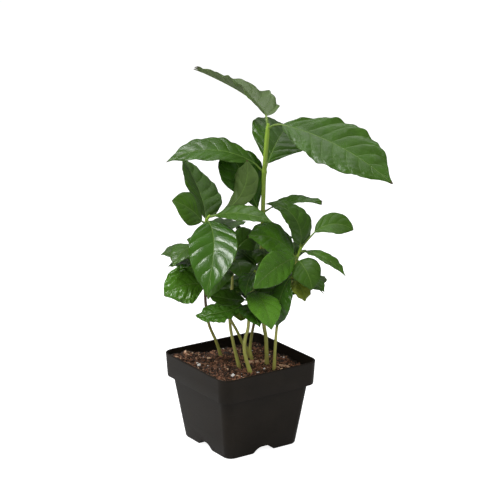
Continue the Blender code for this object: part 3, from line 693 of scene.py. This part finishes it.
def makeStalk(name, spec, joint, stalk, midrib, looks):    # a leaf stalk with the midrib it runs on into
    run = [joint] + stalk[1:] if spec["stalk"] > stalkLook["short"] else [joint, stalk[-1]]
    under = []
    for i in range(1, stalkLook["ribPoints"] + 1):
        t = i / stalkLook["ribPoints"] * stalkLook["ribReach"]
        point, up, _, _ = bladePoint(spec, midrib, t, 0)
        under.append(point - up * ribWidth(t) * stalkLook["ribSunk"])
    points = smoothRoute(run + under, stalkLook["step"])
    whole, before = runLength(points), runLength(run)
    widths, walked = [], 0
    for i, point in enumerate(points):
        walked += (point - points[i - 1]).length if i else 0
        if walked < before:
            flare = (stalkLook["atStem"] - stalkLook["stalk"]) * math.exp(-walked / stalkLook["flareLength"])
            widths.append(spec["stout"] * stalkLook["stalk"] + flare)
        else:
            widths.append(ribWidth((walked - before) / (whole - before)))
    bm = rod(points, evened(widths), stalkLook["sides"])
    bmesh.ops.transform(bm, matrix=toPot, verts=bm.verts)
    return objectFrom(bm, name, looks)


def stalkFinish(name, colour):
    made = Finish(name, colour, stalkLook["rough"])
    streaks = made.grain(1, 3, made.coords(stalkLook["streaks"]))
    soft = made.grain(70, 2)
    tone = made.blend(made.between(streaks, 0.35, 0.75) * 0.6, colour, shade(colour, 0.62))
    tone = made.blend(made.between(soft, 0.35, 0.7) * 0.5, tone, shade(colour, 1.5, 1.2, 1.0))
    made.put("Base Color", tone)
    made.put("Roughness", streaks * 0.15 + (stalkLook["rough"] - 0.06))
    made.relief(streaks, stalkLook["relief"])
    return made


print("finishes")
blades = {}
for key, look in leafLooks.items():
    blades[key] = (leafFinish("leaf_" + key, look["colour"], look["rough"], leafSides["upper"]),
                   leafFinish("leaf_under_" + key, look["under"], veinLook["underRough"], leafSides["under"]))
stalkGreen = stalkFinish("stalk_green", stalkLook["colour"])
stemGreen = stemFinish("stem_green", stemLook["green"], stemLook["green"])
stemYoung = stemFinish("stem_young", stemLook["green"], stemLook["young"])
stemBrown = stemFinish("stem_brown", stemLook["green"], stemLook["brown"], stemLook["brownReached"])
stemLooks = {"left": stemBrown, "back": stemBrown, "tall": stemYoung}

print("stems")
routes = {name: smoothRoute([Vector(p) * mm for p in seedling["route"]], 1 * mm)
          for name, seedling in seedlings.items()}
seedlings["tall"]["pairs"] = [spec for pair in tallPairs.values() for spec in pair]
stems = [makeStem("stem_" + name, seedling, routes[name], [stemLooks.get(name, stemGreen)])
         for name, seedling in seedlings.items()]
stems = joined(stems, "stems")
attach(stems, "root")
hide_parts(*["stem_" + name for name in seedlings])

print("leaves")
masses = [("leaves_" + name, seedling["leaves"], name, growth["stalkRoot"])
          for name, seedling in seedlings.items()]
masses += [("leaf_pair_" + name, pair, "tall", growth["pairRoot"]) for name, pair in tallPairs.items()]
stalks = []
for order, (node, leaves, stem, root) in enumerate(masses):
    perRow = math.ceil(math.sqrt(len(leaves)))
    pieces = []
    for i, spec in enumerate(leaves):
        spec["seed"] = ((order * 13 + i * 7) * 0.137) % 1        # another one for each leaf
        joint = atHeight(routes[stem], spec["at"])
        stalk, midrib = leafPath(spec, joint, root)
        name = "%s_%d" % (node, i)
        pieces.append(makeBlade(name, spec, midrib, blades[spec["look"]], i, perRow))
        stalks.append(makeStalk(name + "_stalk", spec, joint, stalk, midrib, [stalkGreen]))
    mass = joined(pieces, node.replace("leaf_pair", "blades_pair").replace("leaves", "blades"))
    mass.data.transform(toPot)
    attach(mass, "root")
    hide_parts(node)
stalks = joined(stalks, "leaf_stalks")
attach(stalks, "root")


soilLook = {
    "cells": 128,
    "inset": 0.2 * mm,           # between the surface's edge and the solid soil's
    "skirt": 8 * mm,             # how far its sides go down
    "corner": 10.5 * mm,
    "raised": 0.4 * mm,
    "swells": [(2.25 * mm, 60, 0), (2.0 * mm, 230, 0.3), (1.1 * mm, 700, 0.7)],    # height, fineness, layer
    "mound": 6 * mm,             # the filling lies higher in one corner
    "moundFrom": 42 * mm,
    "moundTo": 66 * mm,
    "brown": (0.075, 0.036, 0.019),
    "red": (0.265, 0.122, 0.068),
    "tan": (0.560, 0.390, 0.250),
    "black": (0.012, 0.008, 0.006),
    "white": (0.720, 0.700, 0.660),
    "rough": 0.9,
    "clouds": 330,
    "pores": 1500,
    "relief": 0.35 * mm,
}
# sizes in millimetres, flatness, and the shares of brown, red, tan, black and white
crumbLook = dict(count=5200, clear=2.5 * mm, sizes=(0.8, 2.0), flats=(0.5, 0.9), mix=(4, 5, 1.4, 8, 0.10))
chipLook = dict(count=900, clear=4 * mm, sizes=(2.0, 4.6), flats=(0.25, 0.5), mix=(4, 5, 1.3, 5, 0))
bitLook = {
    "tilt": (0.8, 0.6),
    "long": (1, 1.5),
    "narrow": (0.6, 1),
    "sunk": 0.25,                # how deep a scattered bit lies in the soil, as a share of its height
    "cube": 0.8,
    "broken": (0.62, 1.12),      # how far its corners move in and out
    "bevelled": 2.4 * mm,        # bits over this size also get broken edges
    "bevel": 0.16,
}
# the largest bits, tan bark and then white perlite: places in the plant's own axes and sizes
tanBits = dict(flat=0.45, kind=2, bits=[
    (17.1, 9.0, 10), (10, 2.9, 9), (24, 12, 7), (43, -3.1, 9), (46.8, -12, 8), (37, -8, 6), (-60, 30, 6),
    (-54, 26, 5), (-31, 18, 5), (-6, 36, 6), (3, 24, 5)])
whiteBits = dict(flat=0.75, kind=4, bits=[
    (-41.1, -3.1, 4.4), (-6.7, -32.6, 4.8), (17.9, -23.9, 3.0), (-43, 3, 2.6), (-25, -14, 1.8),
    (30, 30, 2.0), (12, 46, 1.8), (-19.9, 52.6, 2.2), (44, 20, 1.8), (24, -14, 2.2), (-36.8, 27.4, 2.4)])


def soilSurface(x, y):
    swells = sum(height * noise.noise(Vector((x, y, layer)) * fineness)
                 for height, fineness, layer in soilLook["swells"])
    mound = soilLook["mound"] * smooth((y - x) / math.sqrt(2), soilLook["moundFrom"], soilLook["moundTo"])
    return stemLook["soilTop"] + soilLook["raised"] + swells + mound


def squareToRounded(x, y, half, corner):
    dx, dy = abs(x) - (half - corner), abs(y) - (half - corner)
    if dx > 0 and dy > 0:
        squeeze = max(dx, dy) / math.hypot(dx, dy)
        x = math.copysign(half - corner + dx * squeeze, x)
        y = math.copysign(half - corner + dy * squeeze, y)
    return x, y


def soilFinish(name, colour, second):
    made = Finish(name, colour, soilLook["rough"])
    soft = made.grain(soilLook["clouds"], 4)
    fine = made.grain(soilLook["pores"], 3)
    tone = made.blend(made.between(soft, 0.35, 0.65), colour, second)
    tone = made.blend(made.between(fine, 0.5, 0.8) * 0.5, tone, shade(second, 1.9))
    made.put("Base Color", tone)
    made.put("Roughness", fine * 0.15 + (soilLook["rough"] - 0.1))
    made.relief(fine * 0.6 + soft, soilLook["relief"])
    return made


print("soil")
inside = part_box("soil")[1].x - soilLook["inset"]
bm = bmesh.new()
bmesh.ops.create_grid(bm, x_segments=soilLook["cells"], y_segments=soilLook["cells"], size=inside)
for vert in bm.verts:
    x, y = squareToRounded(vert.co.x, vert.co.y, inside, soilLook["corner"])
    vert.co = (x, y, soilSurface(x, y))
rim = [edge for edge in bm.edges if edge.is_boundary]
skirt = bmesh.ops.extrude_edge_only(bm, edges=rim)["geom"]
for vert in [g for g in skirt if isinstance(g, bmesh.types.BMVert)]:
    vert.co.z = stemLook["soilTop"] - soilLook["skirt"]
bmesh.ops.holes_fill(bm, edges=[edge for edge in bm.edges if edge.is_boundary])
bmesh.ops.recalc_face_normals(bm, faces=bm.faces)
soilDark = soilFinish("soil_dark", soilLook["black"], shade(soilLook["black"], 3))
soilTop = objectFrom(bm, "soil_surface", [soilDark])
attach(soilTop, "root")
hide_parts("soil")

chance = random.Random(11)
bitFinishes = [soilFinish("bark_brown", soilLook["brown"], soilLook["red"]),
               soilFinish("bark_red", soilLook["red"], soilLook["brown"]),
               soilFinish("bark_tan", soilLook["tan"], soilLook["red"]),
               soilFinish("peat_black", soilLook["black"], soilLook["brown"]),
               soilFinish("perlite_white", soilLook["white"], shade(soilLook["white"], 0.8))]


def placeBit(bm, x, y, size, flat, look, sunk):
    lean, tip = bitLook["tilt"]
    tilt = (Matrix.Rotation(chance.uniform(0, 2 * math.pi), 4, 'Z')
            @ Matrix.Rotation(chance.uniform(-lean, lean), 4, 'X')
            @ Matrix.Rotation(chance.uniform(-tip, tip), 4, 'Y'))
    long = chance.uniform(*bitLook["long"])
    shape = Matrix.Diagonal((long, chance.uniform(*bitLook["narrow"]) / long, flat, 1))
    place = Matrix.Translation((x, y, soilSurface(x, y) + size * flat * (0.5 - sunk)))
    made = bmesh.ops.create_cube(bm, size=size * bitLook["cube"])["verts"]
    if size > bitLook["bevelled"]:
        edges = list(dict.fromkeys(edge for vert in made for edge in vert.link_edges))
        made = bmesh.ops.bevel(bm, geom=made + edges, offset=size * bitLook["bevel"], affect='EDGES',
                               segments=1, profile=0.5, material=-1)["verts"]
    for vert in made:
        vert.co *= chance.uniform(*bitLook["broken"])
    bmesh.ops.transform(bm, matrix=place @ tilt @ shape, verts=made)
    for face in {face for vert in made for face in vert.link_faces}:
        face.material_index = look


def scatterBits(bm, look):
    room = inside - look["clear"]
    for i in range(look["count"]):
        x, y = chance.uniform(-room, room), chance.uniform(-room, room)
        x, y = squareToRounded(x, y, room, soilLook["corner"])
        kind = chance.choices(range(len(look["mix"])), look["mix"])[0]
        size = chance.uniform(*look["sizes"]) * mm
        placeBit(bm, x, y, size, chance.uniform(*look["flats"]), kind, bitLook["sunk"])


def soilBits(bm, name):
    bits = objectFrom(bm, name, bitFinishes)
    bits.data.shade_flat()
    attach(bits, "root")


bm = bmesh.new()
scatterBits(bm, crumbLook)
soilBits(bm, "soil_crumbs")
bm = bmesh.new()
scatterBits(bm, chipLook)
room = inside - chipLook["clear"]
for placed in (tanBits, whiteBits):
    for x, y, size in placed["bits"]:
        spot = toPot @ Vector((x, y, 0)) * mm
        x, y = (max(-room, min(room, place)) for place in (spot.x, spot.y))
        placeBit(bm, x, y, size * mm, placed["flat"], placed["kind"], 0)
soilBits(bm, "bark_chips")


potLook = {
    "rim": 114.3 * mm,
    "height": 89 * mm,
    "base": 84 * mm,
    "wall": 1.4 * mm,
    "collarBottom": 64.5 * mm,
    "collar": 111.8 * mm,
    "bodyTop": 102.6 * mm,
    "cornerShare": 0.20,
    "cornerSegments": 12,
    "notchWidth": 26 * mm,
    "notchHeight": 6.3 * mm,
    "notchSlope": 0.5,           # how much narrower a notch is at its top
    "notchDepth": 12 * mm,
    "notchRound": 0.6,           # radius of its corners, as a share of its height
    "sharp": 50,                 # degrees from which an edge stays sharp
    "colour": (0.0125, 0.0096, 0.0068),
    "scuff": (0.034, 0.031, 0.028),
    "rough": 0.40,
    "shine": 0.14,
    "clouds": 40,
    "pores": 2200,
    "scuffs": (60, 60, 900),
    "relief": 0.05 * mm,
}


def roundedSquare(bm, width, z):
    half = width / 2
    bmesh.ops.create_grid(bm, x_segments=1, y_segments=1, size=half)
    bmesh.ops.bevel(bm, geom=list(bm.verts), offset=half * potLook["cornerShare"], affect='VERTICES',
                    segments=potLook["cornerSegments"], profile=0.5, material=-1)
    bmesh.ops.translate(bm, verts=bm.verts, vec=(0, 0, z))
    bm.faces.ensure_lookup_table()
    return bm.faces[0]


def potStations():                         # width and height, up the outside and down the inside
    rim, wall, high, low = potLook["rim"], potLook["wall"], potLook["height"], potLook["collarBottom"]
    base, collar, neck = potLook["base"], potLook["collar"], potLook["bodyTop"]
    slope = (neck - base) / low
    foot = [(base - 2.4 * mm, 0), (base - 0.9 * mm, 0.35 * mm)]
    side = [(base + slope * z, z) for z in (1.6 * mm, 20 * mm, 40 * mm)]
    side += [(neck - slope * 3 * mm, low - 3 * mm), (neck - slope * mm, low - 1.0 * mm)]
    step = [(neck + 0.5 * mm, low - 0.2 * mm), (collar - 1.2 * mm, low), (collar - 0.3 * mm, low + 0.1 * mm),
            (collar, low + 0.45 * mm)]
    lip = [((collar + rim) / 2, (low + high) / 2), (rim - 0.25 * mm, high - 2.0 * mm),
           (rim, high - 1.1 * mm), (rim - 0.25 * mm, high - 0.35 * mm), (rim - 0.9 * mm, high),
           (rim - 1.9 * mm, high), (rim - 2.5 * mm, high - 0.35 * mm), (rim - 2 * wall, high - 1.2 * mm)]
    innerStep = [(collar - 2 * wall, low + wall + 1.2 * mm), (collar - 2 * wall - 1.2 * mm, low + wall),
                 (neck - 2 * wall + 0.6 * mm, low + wall), (neck - 2 * wall, low + wall - 0.8 * mm)]
    floor = [(base - 2 * wall, wall + 0.8 * mm), (base - 2 * wall - 1.6 * mm, wall)]
    return foot + side + step + lip + innerStep + floor


def potFinish():
    made = Finish("pot_black", potLook["colour"], potLook["rough"], Specular_IOR_Level=potLook["shine"])
    cloud = made.grain(potLook["clouds"], 3)
    fine = made.grain(potLook["pores"], 2)
    scuff = made.grain(1, 3, made.coords(potLook["scuffs"]))
    tone = made.blend(made.between(cloud, 0.3, 0.75), potLook["colour"], shade(potLook["colour"], 1.35))
    tone = made.blend(made.between(scuff, 0.62, 0.80) * 0.20, tone, potLook["scuff"])
    made.put("Base Color", tone)
    made.put("Roughness", cloud * 0.12 + fine * 0.06 + (potLook["rough"] - 0.08))
    made.relief(fine * 0.5 + cloud * 0.5, potLook["relief"])
    return made


def notchCutter(side):
    deep, wide, high = potLook["notchDepth"], potLook["notchWidth"], potLook["notchHeight"]
    cutter = bmesh.new()
    bmesh.ops.create_cube(cutter, size=1)
    bmesh.ops.scale(cutter, verts=cutter.verts, vec=(2 * deep, wide, 2 * high))
    for vert in cutter.verts:
        vert.co.y *= 1 - math.copysign(potLook["notchSlope"], vert.co.z)
    lengthwise = [e for e in cutter.edges if abs(e.verts[0].co.x - e.verts[1].co.x) > deep]
    bmesh.ops.bevel(cutter, geom=lengthwise, offset=high * potLook["notchRound"], affect='EDGES', segments=6,
                    profile=0.5, material=-1)
    bmesh.ops.translate(cutter, verts=cutter.verts, vec=(potLook["base"] / 2, 0, 0))
    bmesh.ops.transform(cutter, matrix=Matrix.Rotation(side * math.pi / 2, 4, 'Z'), verts=cutter.verts)
    return objectFrom(cutter, "notch", [])


print("pot")
bm = bmesh.new()
stations = potStations()
bmesh.ops.duplicate(bm, geom=[roundedSquare(bm, *stations[0])])       # stays behind as the foot
bm.faces.ensure_lookup_table()
face = bm.faces[0]
for (widthNow, _), (width, z) in zip(stations, stations[1:]):
    face = bmesh.ops.extrude_discrete_faces(bm, faces=[face])["faces"][0]
    for vert in face.verts:
        vert.co = (vert.co.x * width / widthNow, vert.co.y * width / widthNow, z)
bmesh.ops.remove_doubles(bm, verts=bm.verts, dist=weld)
bmesh.ops.recalc_face_normals(bm, faces=bm.faces)
pot = objectFrom(bm, "nursery_pot", [potFinish()])
for side in range(4):
    notch = notchCutter(side)
    cut = pot.modifiers.new("notch", 'BOOLEAN')
    cut.operation = 'DIFFERENCE'
    cut.solver = 'EXACT'
    cut.object = notch
    with bpy.context.temp_override(active_object=pot, object=pot):
        bpy.ops.object.modifier_apply(modifier=cut.name)
    bpy.data.objects.remove(notch, do_unlink=True)
pot.data.shade_smooth()
pot.data.set_sharp_from_angle(angle=math.radians(potLook["sharp"]))
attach(pot, "root")
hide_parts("pot")


studio = {
    "target": (10, 0, 198.7),    # the camera looks at this point, in the plant's own axes
    "distance": 1700,
    "pitch": 15.6,
    "lens": 124.4,
    "sensor": 36,
    "farEnd": 50,
    "ambient": 0.20,             # light from all round
    "seen": 1.0,                 # brightness of the empty background itself
    "floor": 30,                 # half the floor's width, in metres
    "floorColour": (0.55, 0.55, 0.55),
    "floorGlow": 0.90,           # keeps the floor white to the eye
    "floorBounce": 0.107,        # how much of that glow reaches the plant
    "lampAim": (0, 0, 180),
}
# turn and height in degrees, distance, size, power, and whether the leaves mirror it: a fill leaves no gloss
lamps = {
    "key_left": (214, 32, 1.7, (1.0, 1.0), 11, False),
    "window_right": (345, 46, 1.5, (0.30, 0.60), 5, False),
    "overhead": (186, 60, 1.5, (0.40, 0.40), 14.5, True),
    "front": (292, 34, 1.9, (1.2, 1.0), 9, False),
    "back": (80, 60, 1.6, (0.9, 0.6), 5, True),
}


def areaLight(name, turn, pitch, distance, size, power, mirrored):
    aim = toPot @ (Vector(studio["lampAim"]) * mm)
    data = bpy.data.lights.new(name, 'AREA')
    data.shape = 'RECTANGLE'
    data.size, data.size_y = size
    data.energy = power
    light = bpy.data.objects.new(name, data)
    light.visible_glossy = mirrored
    bpy.context.scene.collection.objects.link(light)
    light.location = aim + (toPot.to_3x3() @ bearing(turn, pitch)) * distance
    light.rotation_euler = (aim - light.location).to_track_quat('-Z', 'Y').to_euler()


print("studio")
bm = bmesh.new()
bmesh.ops.create_grid(bm, x_segments=1, y_segments=1, size=studio["floor"])
floorFinish = Finish("floor_white", studio["floorColour"], 0.9, Specular_IOR_Level=0.1,
                     Emission_Strength=studio["floorGlow"])
direct = floorFinish.node("ShaderNodeLightPath", output="Is Camera Ray")
floorFinish.put("Emission Color", floorFinish.blend(direct, (studio["floorBounce"],) * 3, (1, 1, 1)))
objectFrom(bm, "floor", [floorFinish])

for name, lamp in lamps.items():
    areaLight(name, *lamp)

world = bpy.data.worlds.new("studio")
world.use_nodes = True
sky = world.node_tree.nodes["Background"]
sky.inputs["Color"].default_value = (1, 1, 1, 1)
seen = world.node_tree.nodes.new("ShaderNodeLightPath").outputs["Is Camera Ray"]
level = world.node_tree.nodes.new("ShaderNodeMapRange")
level.inputs["To Min"].default_value = studio["ambient"]
level.inputs["To Max"].default_value = studio["seen"]
world.node_tree.links.new(seen, level.inputs["Value"])
world.node_tree.links.new(level.outputs["Result"], sky.inputs["Strength"])
bpy.context.scene.world = world

target = toPot @ (Vector(studio["target"]) * mm)
towards = toPot.to_3x3() @ bearing(-90, studio["pitch"])       # from the target to the camera
lens = bpy.data.cameras.new("camera")
lens.lens = studio["lens"]
lens.sensor_width = studio["sensor"]
lens.clip_end = studio["farEnd"]
camera = bpy.data.objects.new("camera", lens)
bpy.context.scene.collection.objects.link(camera)
camera.location = target + towards * studio["distance"] * mm
camera.rotation_euler = (-towards).to_track_quat('-Z', 'Y').to_euler()
bpy.context.scene.camera = camera
bpy.context.scene.view_settings.view_transform = 'Standard'

print("finishing")
